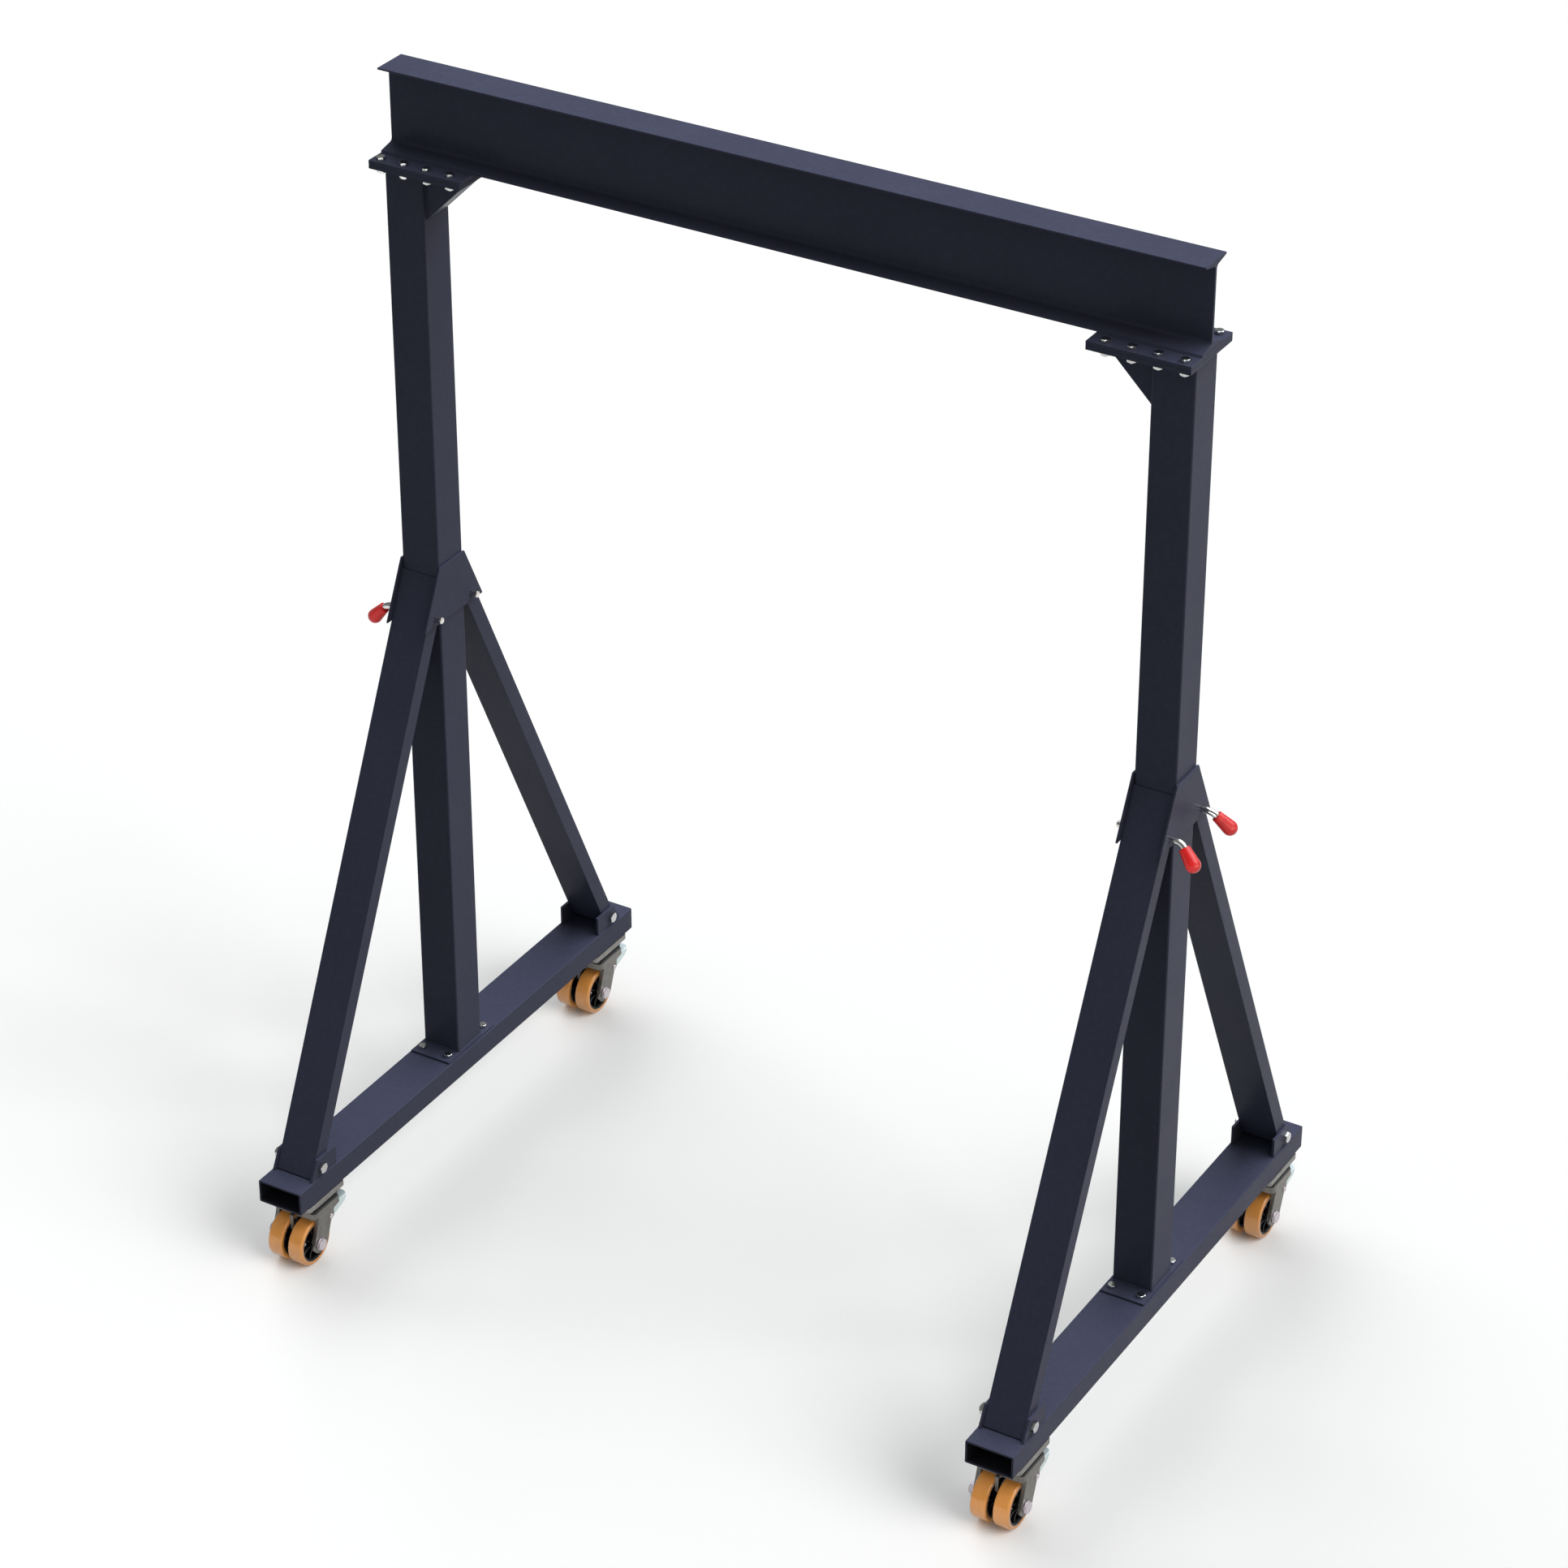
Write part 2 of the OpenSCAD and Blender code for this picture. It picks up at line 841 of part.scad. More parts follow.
// a tyre with rounded shoulders on a hub
module tread(side, end, wheel) {
  shoulder = 6;
  r = wheel_d / 2;
  color([0.85, 0.55, 0.22])
    at_wheel(side, end, wheel)
      rotate_extrude()
        difference() {
          union() {
            translate([0, shoulder])
              square([r, wheel_w - 2 * shoulder]);
            square([r - shoulder, wheel_w]);
            for (z = [shoulder, wheel_w - shoulder])
              translate([r - shoulder, z])
                circle(r = shoulder);
          }
          translate([-cut, -cut])
            square([hub_r + cut, wheel_w + 2 * cut]);
        }
}

// ---------------------------------------------------------------- nodes

beam();
beam_plates();
head_plate(LEFT);  // head_plate_left
head_plate(RIGHT);  // head_plate_right
head_bolts();
mast(LEFT);  // mast_left
mast(RIGHT);  // mast_right
haunches();
foot_plates();
foot_bolts();
bracket_plates();
brace(LEFT, FRONT);  // brace_left_front
brace(LEFT, REAR);  // brace_left_rear
brace(RIGHT, FRONT);  // brace_right_front
brace(RIGHT, REAR);  // brace_right_rear
base_tube(LEFT);  // base_tube_left
base_tube(RIGHT);  // base_tube_right
brace_lugs();
pivot_bolts();
caster_plates();
lock_pin(LEFT, FRONT);  // lock_pin_left_front
lock_pin(LEFT, REAR);  // lock_pin_left_rear
lock_pin(RIGHT, FRONT);  // lock_pin_right_front
lock_pin(RIGHT, REAR);  // lock_pin_right_rear
pin_grip(LEFT, FRONT);  // pin_grip_left_front
pin_grip(LEFT, REAR);  // pin_grip_left_rear
pin_grip(RIGHT, FRONT);  // pin_grip_right_front
pin_grip(RIGHT, REAR);  // pin_grip_right_rear
raceway(LEFT, FRONT);  // raceway_left_front
raceway(LEFT, REAR);  // raceway_left_rear
raceway(RIGHT, FRONT);  // raceway_right_front
raceway(RIGHT, REAR);  // raceway_right_rear
fork(LEFT, FRONT);  // fork_left_front
fork(LEFT, REAR);  // fork_left_rear
fork(RIGHT, FRONT);  // fork_right_front
fork(RIGHT, REAR);  // fork_right_rear
axle(LEFT, FRONT);  // axle_left_front
axle(LEFT, REAR);  // axle_left_rear
axle(RIGHT, FRONT);  // axle_right_front
axle(RIGHT, REAR);  // axle_right_rear
pedal(LEFT, FRONT);  // pedal_left_front
pedal(LEFT, REAR);  // pedal_left_rear
pedal(RIGHT, FRONT);  // pedal_right_front
pedal(RIGHT, REAR);  // pedal_right_rear
hub(LEFT, FRONT, LEFT);  // hub_left_front_a
hub(LEFT, FRONT, RIGHT);  // hub_left_front_b
hub(LEFT, REAR, LEFT);  // hub_left_rear_a
hub(LEFT, REAR, RIGHT);  // hub_left_rear_b
hub(RIGHT, FRONT, LEFT);  // hub_right_front_a
hub(RIGHT, FRONT, RIGHT);  // hub_right_front_b
hub(RIGHT, REAR, LEFT);  // hub_right_rear_a
hub(RIGHT, REAR, RIGHT);  // hub_right_rear_b
tread(LEFT, FRONT, LEFT);  // tread_left_front_a
tread(LEFT, FRONT, RIGHT);  // tread_left_front_b
tread(LEFT, REAR, LEFT);  // tread_left_rear_a
tread(LEFT, REAR, RIGHT);  // tread_left_rear_b
tread(RIGHT, FRONT, LEFT);  // tread_right_front_a
tread(RIGHT, FRONT, RIGHT);  // tread_right_front_b
tread(RIGHT, REAR, LEFT);  // tread_right_rear_a
tread(RIGHT, REAR, RIGHT);  // tread_right_rear_b
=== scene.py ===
"""Portable gantry crane: detailed pieces, materials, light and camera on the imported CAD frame."""
import json
import math
import random

import bmesh
import bpy
from mathutils import Matrix, Vector


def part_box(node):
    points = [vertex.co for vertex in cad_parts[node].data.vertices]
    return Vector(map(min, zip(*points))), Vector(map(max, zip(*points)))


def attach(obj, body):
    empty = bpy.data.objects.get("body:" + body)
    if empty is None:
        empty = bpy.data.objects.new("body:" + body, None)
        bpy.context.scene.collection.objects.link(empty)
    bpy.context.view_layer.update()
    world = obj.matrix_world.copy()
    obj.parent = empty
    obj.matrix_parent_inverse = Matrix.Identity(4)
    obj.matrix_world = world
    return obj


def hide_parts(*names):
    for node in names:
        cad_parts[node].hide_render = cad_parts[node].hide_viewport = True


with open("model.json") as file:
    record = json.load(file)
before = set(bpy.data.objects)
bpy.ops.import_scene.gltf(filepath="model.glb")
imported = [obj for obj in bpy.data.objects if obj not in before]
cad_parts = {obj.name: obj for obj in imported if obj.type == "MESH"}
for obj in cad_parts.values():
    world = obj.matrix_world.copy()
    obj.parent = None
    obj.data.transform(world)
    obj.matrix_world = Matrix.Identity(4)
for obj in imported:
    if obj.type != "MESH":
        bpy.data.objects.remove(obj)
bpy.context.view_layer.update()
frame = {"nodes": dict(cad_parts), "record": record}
record = frame["record"]
random.seed(7)
MM = 0.001
SIDES = (("left", -1), ("right", 1))
ENDS = (("front", -1), ("rear", 1))
# pieces that the soft lights reach: bare metal, and the bright treads and grips
SMALL_PARTS = {"metal": [], "bright": []}
# slots that no soft light reaches, only the suns
SUNS_ONLY = ("frame_paint", "fork_zinc", "raceway_black", "hub_black")

# sizes in mm, as in the CAD source; a bolt is across flats, head height, shank, nut height and tail
M12 = (19, 7.5, 12, 10, 3)
M16 = (24, 10, 16, 13, 4)
BASE_WALL = 5
MAST_FACE = 50              # a mast's faces, from its middle
LUG_FACE = 56.5             # the lugs' outer faces, from the leg's middle
PIN_R = 8
CHEEK_IN, CHEEK_OUT = 56.5, 61.5    # a fork cheek's faces, from the caster's middle
CROWN_TOP, CROWN_LOW = -30, -39     # the fork's crown, below the base tube
AXLE_Y, AXLE_Z = -37, -120          # the axle, from the swivel axis and below the base tube
BRAKE_Y, BRAKE_Z = 12, -70          # the brake's pivot, measured alike
WHEEL_WIDTH = 40


# ---------------------------------------------------------------- materials

def material(name, **sockets):
    """A new Principled material with plain values on its sockets."""
    mat = bpy.data.materials.new(name)
    mat.use_nodes = True
    tree = mat.node_tree
    tree.nodes.clear()
    out = tree.nodes.new("ShaderNodeOutputMaterial")
    shader = tree.nodes.new("ShaderNodeBsdfPrincipled")
    tree.links.new(shader.outputs[0], out.inputs[0])
    for key, value in sockets.items():
        shader.inputs[key.replace("_", " ")].default_value = value
    return mat, tree, shader


def noise(tree, scale, detail, stretch=(1, 1, 1)):
    """3-D noise in the object's own coordinates, which are the row frame in metres."""
    coords = tree.nodes.new("ShaderNodeTexCoord")
    mapping = tree.nodes.new("ShaderNodeMapping")
    mapping.inputs["Scale"].default_value = stretch
    tree.links.new(coords.outputs["Object"], mapping.inputs["Vector"])
    tex = tree.nodes.new("ShaderNodeTexNoise")
    tex.inputs["Scale"].default_value = scale
    tex.inputs["Detail"].default_value = detail
    tex.inputs["Roughness"].default_value = 0.55
    tree.links.new(mapping.outputs["Vector"], tex.inputs["Vector"])
    return tex.outputs["Fac"]


def ramp(tree, fac, stops):
    """A colour ramp; stops are (position, grey) or (position, (r, g, b))."""
    node = tree.nodes.new("ShaderNodeValToRGB")
    tree.links.new(fac, node.inputs["Fac"])
    points = node.color_ramp.elements
    while len(points) < len(stops):
        points.new(0.5)
    for point, (pos, col) in zip(points, stops):
        point.position = pos
        rgb = (col, col, col) if isinstance(col, (int, float)) else col
        point.color = (*rgb, 1.0)
    return node.outputs["Color"]


def blend_colours(tree, fac, a, b, kind="MIX"):
    """Mixes colours a and b, each a socket or an (r, g, b)."""
    node = tree.nodes.new("ShaderNodeMix")
    node.data_type = "RGBA"
    node.blend_type = kind
    if isinstance(fac, float):
        node.inputs["Factor"].default_value = fac
    else:
        tree.links.new(fac, node.inputs["Factor"])
    for key, value in (("A", a), ("B", b)):
        socket = [s for s in node.inputs if s.name == key and s.type == "RGBA"][0]
        if isinstance(value, tuple):
            socket.default_value = (*value, 1.0)
        else:
            tree.links.new(value, socket)
    return [s for s in node.outputs if s.type == "RGBA"][0]


def bumps(tree, shader, *layers):
    """Bump layers, each (height socket, strength, distance in metres)."""
    normal = None
    for height, strength, distance in layers:
        node = tree.nodes.new("ShaderNodeBump")
        node.inputs["Strength"].default_value = strength
        node.inputs["Distance"].default_value = distance
        tree.links.new(height, node.inputs["Height"])
        if normal is not None:
            tree.links.new(normal, node.inputs["Normal"])
        normal = node.outputs["Normal"]
    tree.links.new(normal, shader.inputs["Normal"])


def tube_shade_mask(tree):
    """One inside the base tubes, where painted shade darkens the hollow, and nought everywhere else."""
    coords = tree.nodes.new("ShaderNodeTexCoord")
    split = tree.nodes.new("ShaderNodeSeparateXYZ")
    tree.links.new(coords.outputs["Object"], split.inputs[0])
    size = tree.nodes.new("ShaderNodeMath")
    size.operation = "ABSOLUTE"
    tree.links.new(split.outputs["X"], size.inputs[0])
    low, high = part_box("base_tube_right")
    wall = (BASE_WALL - 0.2) * MM
    tests = []
    for value, a, b in ((size.outputs[0], low.x, high.x), (split.outputs["Z"], low.z, high.z)):
        test = tree.nodes.new("ShaderNodeMath")
        test.operation = "COMPARE"
        test.inputs[1].default_value = (a + b) / 2
        test.inputs[2].default_value = (b - a) / 2 - wall
        tree.links.new(value, test.inputs[0])
        tests.append(test.outputs[0])
    both = tree.nodes.new("ShaderNodeMath")
    both.operation = "MULTIPLY"
    for k in (0, 1):
        tree.links.new(tests[k], both.inputs[k])
    return both.outputs[0]


def frame_paint():
    """Dark navy powder coat: faint orange peel, cloudy gloss, fine dark specks, with painted shade inside the
    base tubes.
    """
    mat, tree, shader = material(
        "frame_paint", Specular_IOR_Level=0.045, Coat_Weight=0.012, Coat_Roughness=0.12
    )
    cloud = noise(tree, 2.2, 5)
    fine = noise(tree, 90, 3)
    base = ramp(tree, cloud, [(0.32, (0.057, 0.061, 0.101)), (0.68, (0.066, 0.071, 0.116))])
    speck = ramp(tree, fine, [(0.45, 0.93), (0.62, 1.0)])
    colour = blend_colours(tree, 1.0, base, speck, "MULTIPLY")
    # painted shade: the insides of the base tubes are darkened to near black
    shaded_colour = blend_colours(tree, tube_shade_mask(tree), colour, (0.032, 0.032, 0.045))
    tree.links.new(shaded_colour, shader.inputs["Base Color"])
    tree.links.new(ramp(tree, noise(tree, 7, 6), [(0.3, 0.32), (0.7, 0.42)]), shader.inputs["Roughness"])
    bumps(tree, shader, (noise(tree, 260, 2), 0.10, 0.0006), (noise(tree, 14, 2), 0.04, 0.002))
    return mat


def zinc(name, colour, rough, tint=0.12, metal=1.0, grain=0.14):
    """Zinc-plated steel: soft spangle, cloudy tint and faint rolling lines."""
    mat, tree, shader = material(name, Metallic=metal)
    dark = tuple(c * (1 - tint) for c in colour)
    cloud = ramp(tree, noise(tree, 55, 4), [(0.35, dark), (0.65, colour)])
    spots = ramp(tree, noise(tree, 420, 2), [(0.35, 1 - grain), (0.6, 1.0)])
    tree.links.new(blend_colours(tree, 1.0, cloud, spots, "MULTIPLY"), shader.inputs["Base Color"])
    gloss = ramp(tree, noise(tree, 130, 4), [(0.3, rough * 0.85), (0.7, rough * 1.15)])
    tree.links.new(gloss, shader.inputs["Roughness"])
    bumps(tree, shader, (noise(tree, 500, 3, (1, 1, 0.15)), grain * 0.8, 0.0003))
    return mat


def grip_red():
    """Moulded soft red plastic."""
    mat, tree, shader = material("grip_red", Coat_Weight=0.10, Coat_Roughness=0.2)
    cloud = ramp(tree, noise(tree, 60, 3), [(0.35, (0.62, 0.010, 0.010)), (0.65, (0.74, 0.016, 0.015))])
    tree.links.new(cloud, shader.inputs["Base Color"])
    tree.links.new(ramp(tree, noise(tree, 200, 3), [(0.3, 0.26), (0.7, 0.38)]), shader.inputs["Roughness"])
    bumps(tree, shader, (noise(tree, 900, 2), 0.10, 0.0003))
    return mat


def tread_amber():
    """Cast polyurethane: glossy, slightly cloudy, with scuffs running round the wheel."""
    mat, tree, shader = material("tread_amber", Coat_Weight=0.55, Coat_Roughness=0.04, Coat_IOR=1.6)
    cloud = ramp(tree, noise(tree, 24, 4), [(0.3, (0.69, 0.278, 0.055)), (0.7, (0.77, 0.321, 0.075))])
    scuff = ramp(tree, noise(tree, 130, 5, (2.2, 0.3, 0.3)), [(0.50, 1.0), (0.72, 0.90)])
    tree.links.new(blend_colours(tree, 1.0, cloud, scuff, "MULTIPLY"), shader.inputs["Base Color"])
    tree.links.new(ramp(tree, noise(tree, 70, 4), [(0.3, 0.16), (0.7, 0.28)]), shader.inputs["Roughness"])
    bumps(tree, shader, (noise(tree, 300, 3, (2.0, 0.5, 0.5)), 0.05, 0.0003))
    return mat


def black_part(name, rough, tone):
    """Black moulded or blackened parts with a grainy skin; tone is how dark."""
    mat, tree, shader = material(name, Specular_IOR_Level=0.35)
    dark = tuple(tone * k for k in (0.7, 0.72, 0.78))
    pale = tuple(tone * k for k in (1.5, 1.6, 1.8))
    tree.links.new(ramp(tree, noise(tree, 40, 4), [(0.35, dark), (0.7, pale)]), shader.inputs["Base Color"])
    gloss = ramp(tree, noise(tree, 160, 4), [(0.3, rough * 0.8), (0.7, rough * 1.25)])
    tree.links.new(gloss, shader.inputs["Roughness"])
    bumps(tree, shader, (noise(tree, 700, 3), 0.15, 0.0003))
    return mat


MATS = {
    "frame_paint": frame_paint(),
    "bolt_zinc": zinc("bolt_zinc", (0.60, 0.60, 0.59), 0.22, grain=0.08),
    "pin_chrome": zinc("pin_chrome", (0.78, 0.77, 0.76), 0.10, 0.05),
    "grip_red": grip_red(),
    "plate_zinc": zinc("plate_zinc", (0.30, 0.29, 0.275), 0.42, 0.2, 0.75),
    "raceway_black": black_part("raceway_black", 0.35, 0.012),
    "fork_zinc": zinc("fork_zinc", (0.235, 0.225, 0.208), 0.40, 0.2, 0.7),
    "axle_zinc": zinc("axle_zinc", (0.66, 0.60, 0.65), 0.30, 0.05, 0.8, grain=0.04),
    "pedal_zinc": zinc("pedal_zinc", (0.78, 0.91, 0.93), 0.34, 0.05, 0.35, grain=0.05),
    "hub_black": black_part("hub_black", 0.36, 0.006),
    "tread_amber": tread_amber(),
}


# ---------------------------------------------------------------- mesh helpers

def outward(mesh):
    """Turns every solid's faces to look outwards."""
    work = bmesh.new()
    work.from_mesh(mesh)
    bmesh.ops.recalc_face_normals(work, faces=work.faces[:])
    work.to_mesh(mesh)
    work.free()


def soften(obj, width, clamp=True):
    """Rounds sharp edges a little, keeping flat faces flat."""
    mod = obj.modifiers.new("bevel", "BEVEL")
    mod.width = width
    mod.segments = 2
    mod.limit_method = "ANGLE"
    mod.angle_limit = math.radians(40)
    mod.use_clamp_overlap = clamp
    even = obj.modifiers.new("even", "WEIGHTED_NORMAL")
    even.mode = "FACE_AREA"
    even.weight = 80


def add(name, shape, slot, body, replaces=(), smooth=None, bevel=None):
    """Makes a shape a piece with its slot's material, riding on its body. Its edges are either
    bevelled by so many mm or shaded smooth up to so many degrees."""
    mesh = bpy.data.meshes.new(name)
    mesh.from_pydata([tuple(v) for v in shape.verts], [], shape.faces)
    mesh.validate()
    outward(mesh)
    obj = bpy.data.objects.new(name, mesh)
    bpy.context.scene.collection.objects.link(obj)
    mesh.materials.append(MATS[slot])
    for poly in mesh.polygons:
        poly.use_smooth = True
    if bevel:
        soften(obj, bevel * MM)
    else:
        mesh.set_sharp_from_angle(angle=math.radians(smooth))
    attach(obj, body)
    if slot in ("tread_amber", "grip_red"):
        SMALL_PARTS["bright"].append(obj)
    elif slot not in SUNS_ONLY:
        SMALL_PARTS["metal"].append(obj)
    if replaces:
        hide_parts(*replaces)
    return obj


class Shape:
    """Collects vertices, in metres, and faces of several closed solids for one piece."""

    def __init__(self):
        self.verts = []
        self.faces = []

    def put(self, verts, faces, at=None):
        """Adds one solid, moved by a matrix, and turns its faces if that mirrors it."""
        start = len(self.verts)
        self.verts += [at @ Vector(v) if at is not None else Vector(v) for v in verts]
        flip = at is not None and at.to_3x3().determinant() < 0
        for face in faces:
            ids = [start + i for i in face]
            self.faces.append(ids[::-1] if flip else ids)
        return self


def loft(rings, loop=False):
    """Quads between rings of equal length, capped at both ends unless it closes on itself."""
    n = len(rings[0])
    verts = [v for ring in rings for v in ring]
    faces = []
    for k in range(len(rings) if loop else len(rings) - 1):
        a, b = k * n, ((k + 1) % len(rings)) * n
        faces += [[a + i, a + (i + 1) % n, b + (i + 1) % n, b + i] for i in range(n)]
    if not loop:
        faces.append(list(range(n))[::-1])
        faces.append([len(verts) - n + i for i in range(n)])
    return verts, faces


def prism(outline, z0, z1):
    """A closed (x, y) outline, anticlockwise, made solid from z0 to z1."""
    return loft([[(x, y, z0) for x, y in outline], [(x, y, z1) for x, y in outline]])


def arc(cx, cy, r, a0, a1, steps):
    """Points along an arc round (cx, cy), from a0 to a1 degrees."""
    turns = [math.radians(a0 + (a1 - a0) * i / steps) for i in range(steps + 1)]
    return [(cx + r * math.cos(a), cy + r * math.sin(a)) for a in turns]


def round_rect(w, h, r):
    """A rectangle with round corners, anticlockwise."""
    x, y = w / 2 - r, h / 2 - r
    points = []
    for cx, cy, start in ((x, y, 0), (-x, y, 90), (-x, -y, 180), (x, -y, 270)):
        points += arc(cx, cy, r, start, start + 90, 5)
    return points


def circle(r, n):
    """A circle of n points, anticlockwise."""
    turns = [2 * math.pi * i / n for i in range(n)]
    return [(r * math.cos(a), r * math.sin(a)) for a in turns]


def lathe(profile, n, closed=True):
    """Turns an (r, z) profile about Z; a closed profile makes a ring, an open one ends on the axis."""
    return loft([[(x, y, z) for x, y in circle(r, n)] for r, z in profile], loop=closed)


def along(direction, origin):
    """A matrix whose Z axis points along direction, in millimetres scaled to metres."""
    turn = Vector(direction).to_track_quat("Z", "Y").to_matrix().to_4x4()
    return Matrix.Translation(origin) @ turn @ Matrix.Scale(MM, 4)


def hexagon_head(af, h, both=False):
    """A hexagon on z = 0, its corners cut by a turned chamfer on top, or at both ends."""
    n, flat, slope = 48, af / 2, math.radians(28)
    face = 0.955 * flat     # radius of the round face inside the chamfer
    corners = []
    for i in range(n):
        a = 2 * math.pi * i / n
        r = flat / math.cos((a + math.pi / 6) % (math.pi / 3) - math.pi / 6)
        cut = max(0.0, r - face) * math.tan(slope)
        corners.append((r * math.cos(a), r * math.sin(a), cut))
    if both:
        rings = [[(x, y, 0.0) for x, y in circle(face, n)], corners]
    else:
        rings = [[(x, y, 0.0) for x, y, _ in corners]]
    rings.append([(x, y, h - cut) for x, y, cut in corners])
    rings.append([(x, y, h) for x, y in circle(face, n)])
    return loft(rings)


def threaded_rod(r, length):
    """A bolt end on z = 0 with its thread as turned rings and a chamfered tip."""
    pitch, tip = 1.75, 1
    profile = [(r, 0)]
    z = 0
    while z + pitch < length - tip:
        profile += [(r, z + 0.1 * pitch), (r * 0.9, z + 0.5 * pitch), (r, z + 0.9 * pitch)]
        z += pitch
    profile += [(r, length - tip), (r * 0.82, length)]
    return lathe(profile, 20, closed=False)


def washer(r_in, r_out, h):
    """A flat washer with broken edges."""
    c = 0.35
    profile = [(r_in, 0), (r_out - c, 0), (r_out, c), (r_out, h - c), (r_out - c, h), (r_in, h)]
    return lathe(profile, 40)


def sweep(points, radii, n):
    """A round bar of n sides through points, with a radius at each."""
    rings = []
    up = Vector((0, 1, 0.02)).normalized()
    turns = [2 * math.pi * k / n for k in range(n)]
    for i, p in enumerate(points):
        a = points[max(i - 1, 0)]
        b = points[min(i + 1, len(points) - 1)]
        t = (Vector(b) - Vector(a)).normalized()
        u = (up - t * up.dot(t)).normalized()
        v = t.cross(u)
        rings.append([Vector(p) + radii[i] * (math.cos(k) * u + math.sin(k) * v) for k in turns])
    return loft(rings)


def weld_bead(shape, a, b, r):
    """A rippled fillet weld from a to b, in metres, with its lower half sunk into both plates."""
    a, b = Vector(a), Vector(b)
    ripple = 3.0 * MM
    count = max(6, int((b - a).length / ripple))
    points = [a + (b - a) * (i / count) for i in range(count + 1)]
    size = [r * MM * (0.90 + 0.10 * (i % 2)) * (0.97 + 0.06 * random.random()) for i in range(count + 1)]
    size[0] = size[-1] = r * MM * 0.5
    shape.put(*sweep(points, size, 8))


# ---------------------------------------------------------------- CAD nodes that keep their shape

def dress(node, slot):
    """A CAD node keeps its shape: flat triangles are joined, edges softened, the material set."""
    obj = frame["nodes"][node]
    obj.data.materials.clear()
    obj.data.materials.append(MATS[slot])
    obj.modifiers.new("weld", "WELD").merge_threshold = 1e-6
    flat = obj.modifiers.new("flat", "DECIMATE")
    flat.decimate_type = "DISSOLVE"
    flat.angle_limit = math.radians(0.5)
    soften(obj, 0.7 * MM, clamp=False)
    for poly in obj.data.polygons:
        poly.use_smooth = True


for entry in record["subparts"]:
    dress(entry["node"], entry["material_slot"])


# ---------------------------------------------------------------- places taken from the CAD

def joint_place(name):
    """Where a CAD joint sits, in metres."""
    return Vector(next(j["pos_m"] for j in record["behaviour"]["joints"] if j["name"] == name))


def leg_centre(side):
    """x of a mast's middle, in metres."""
    a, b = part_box(f"mast_{side}")
    return (a.x + b.x) / 2


def mirrored(sign):
    """Turns a shape made for the +X side into its mirror image on the -X side."""
    return Matrix.Diagonal((sign, 1, 1, 1))


LOCAL = Matrix.Scale(MM, 4)
# lays an outline drawn in (y, z) upright, so that its thickness runs along X
UPRIGHT = Matrix(((0, 0, 1, 0), (1, 0, 0, 0), (0, 1, 0, 0), (0, 0, 0, 1)))
# turns a shape's Z to +X
SIDEWAYS = Matrix.Rotation(math.pi / 2, 4, "Y")
BASE_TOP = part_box("base_tube_left")[1].z
FOOT_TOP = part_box("foot_plates")[1].z
HEAD_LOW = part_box("head_plate_left")[0].z
BEAM_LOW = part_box("beam")[0].z


# ---------------------------------------------------------------- beam

def beam_outline():
    """The I section in (y, z), with root fillets and rounded flange toes."""
    a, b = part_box("beam")
    half_w, half_h = (b.y - a.y) / 2 / MM, (b.z - a.z) / 2 / MM
    web, tip, root, toe, fillet = 3.75, 4.5, 14.0, 2.2, 9.0
    slope = math.degrees(math.atan((root - tip) / (half_w - web)))
    quarter = [(half_w, half_h)]
    cy, cz = half_w - toe, half_h - tip + toe * 0.8
    quarter += arc(cy, cz, toe, 0, -90 + slope, 4)
    fy = web + fillet
    fz = half_h - root + (root - tip) * fillet / (half_w - web) - fillet
    quarter += arc(fy, fz, fillet, 90 + slope, 180, 7)
    right = quarter + [(y, -z) for y, z in quarter[::-1]]
    return right[::-1] + [(-y, z) for y, z in right]


def beam():
    """The rolled I-beam."""
    a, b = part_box("beam")
    place = Matrix.Translation((0, 0, (a.z + b.z) / 2)) @ UPRIGHT @ LOCAL
    shape = Shape().put(*prism(beam_outline(), a.x / MM, b.x / MM), place)
    add("beam_rolled", shape, "frame_paint", "frame", ["beam"], bevel=0.7)


# ---------------------------------------------------------------- fasteners

def bolt(shape, place, size, grip):
    """A bolt with its head on z = 0 upwards and its nut below what it grips, in mm."""
    af, head_h, shank, nut_h, tail = size
    nut = place @ Matrix.Translation((0, 0, -grip - nut_h))
    shape.put(*hexagon_head(af, head_h), place)
    shape.put(*prism(circle(af * 0.30, 24), head_h - 0.6, head_h - 0.02), place)
    shape.put(*prism(circle(shank / 2 - 0.1, 24), -grip, 1), place)
    shape.put(*hexagon_head(af, nut_h, both=True), nut)
    down = place @ Matrix.Translation((0, 0, -grip)) @ Matrix.Rotation(math.pi, 4, "X")
    shape.put(*threaded_rod(shank / 2, nut_h + tail), down)


def bolt_place(x, y, z):
    """An upright place in metres, with its flats turned at random."""
    turn = Matrix.Rotation(random.uniform(0, math.pi), 4, "Z")
    return Matrix.Translation((x, y, z)) @ turn @ LOCAL


def head_bolts():
    """Two rows of four bolts that join each mast's head plate to the beam's plate."""
    first, step, off = 38, 60.5, 77
    shape = Shape()
    for side, sign in SIDES:
        for i in range(4):
            for y in (-off, off):
                x = leg_centre(side) + sign * (first - step * i) * MM
                bolt(shape, bolt_place(x, y * MM, BEAM_LOW), M12, (BEAM_LOW - HEAD_LOW) / MM)
    add("head_bolt_set", shape, "bolt_zinc", "frame", ["head_bolts"], smooth=28)


def foot_bolts():
    """Four bolts that hold each foot plate to its base tube."""
    shape = Shape()
    for side, _ in SIDES:
        for x in (-37, 37):
            for y in (-76, 76):
                place = bolt_place(leg_centre(side) + x * MM, y * MM, FOOT_TOP)
                bolt(shape, place, M12, (FOOT_TOP - BASE_TOP) / MM + BASE_WALL)
    add("foot_bolt_set", shape, "bolt_zinc", "frame", ["foot_bolts"], smooth=28)


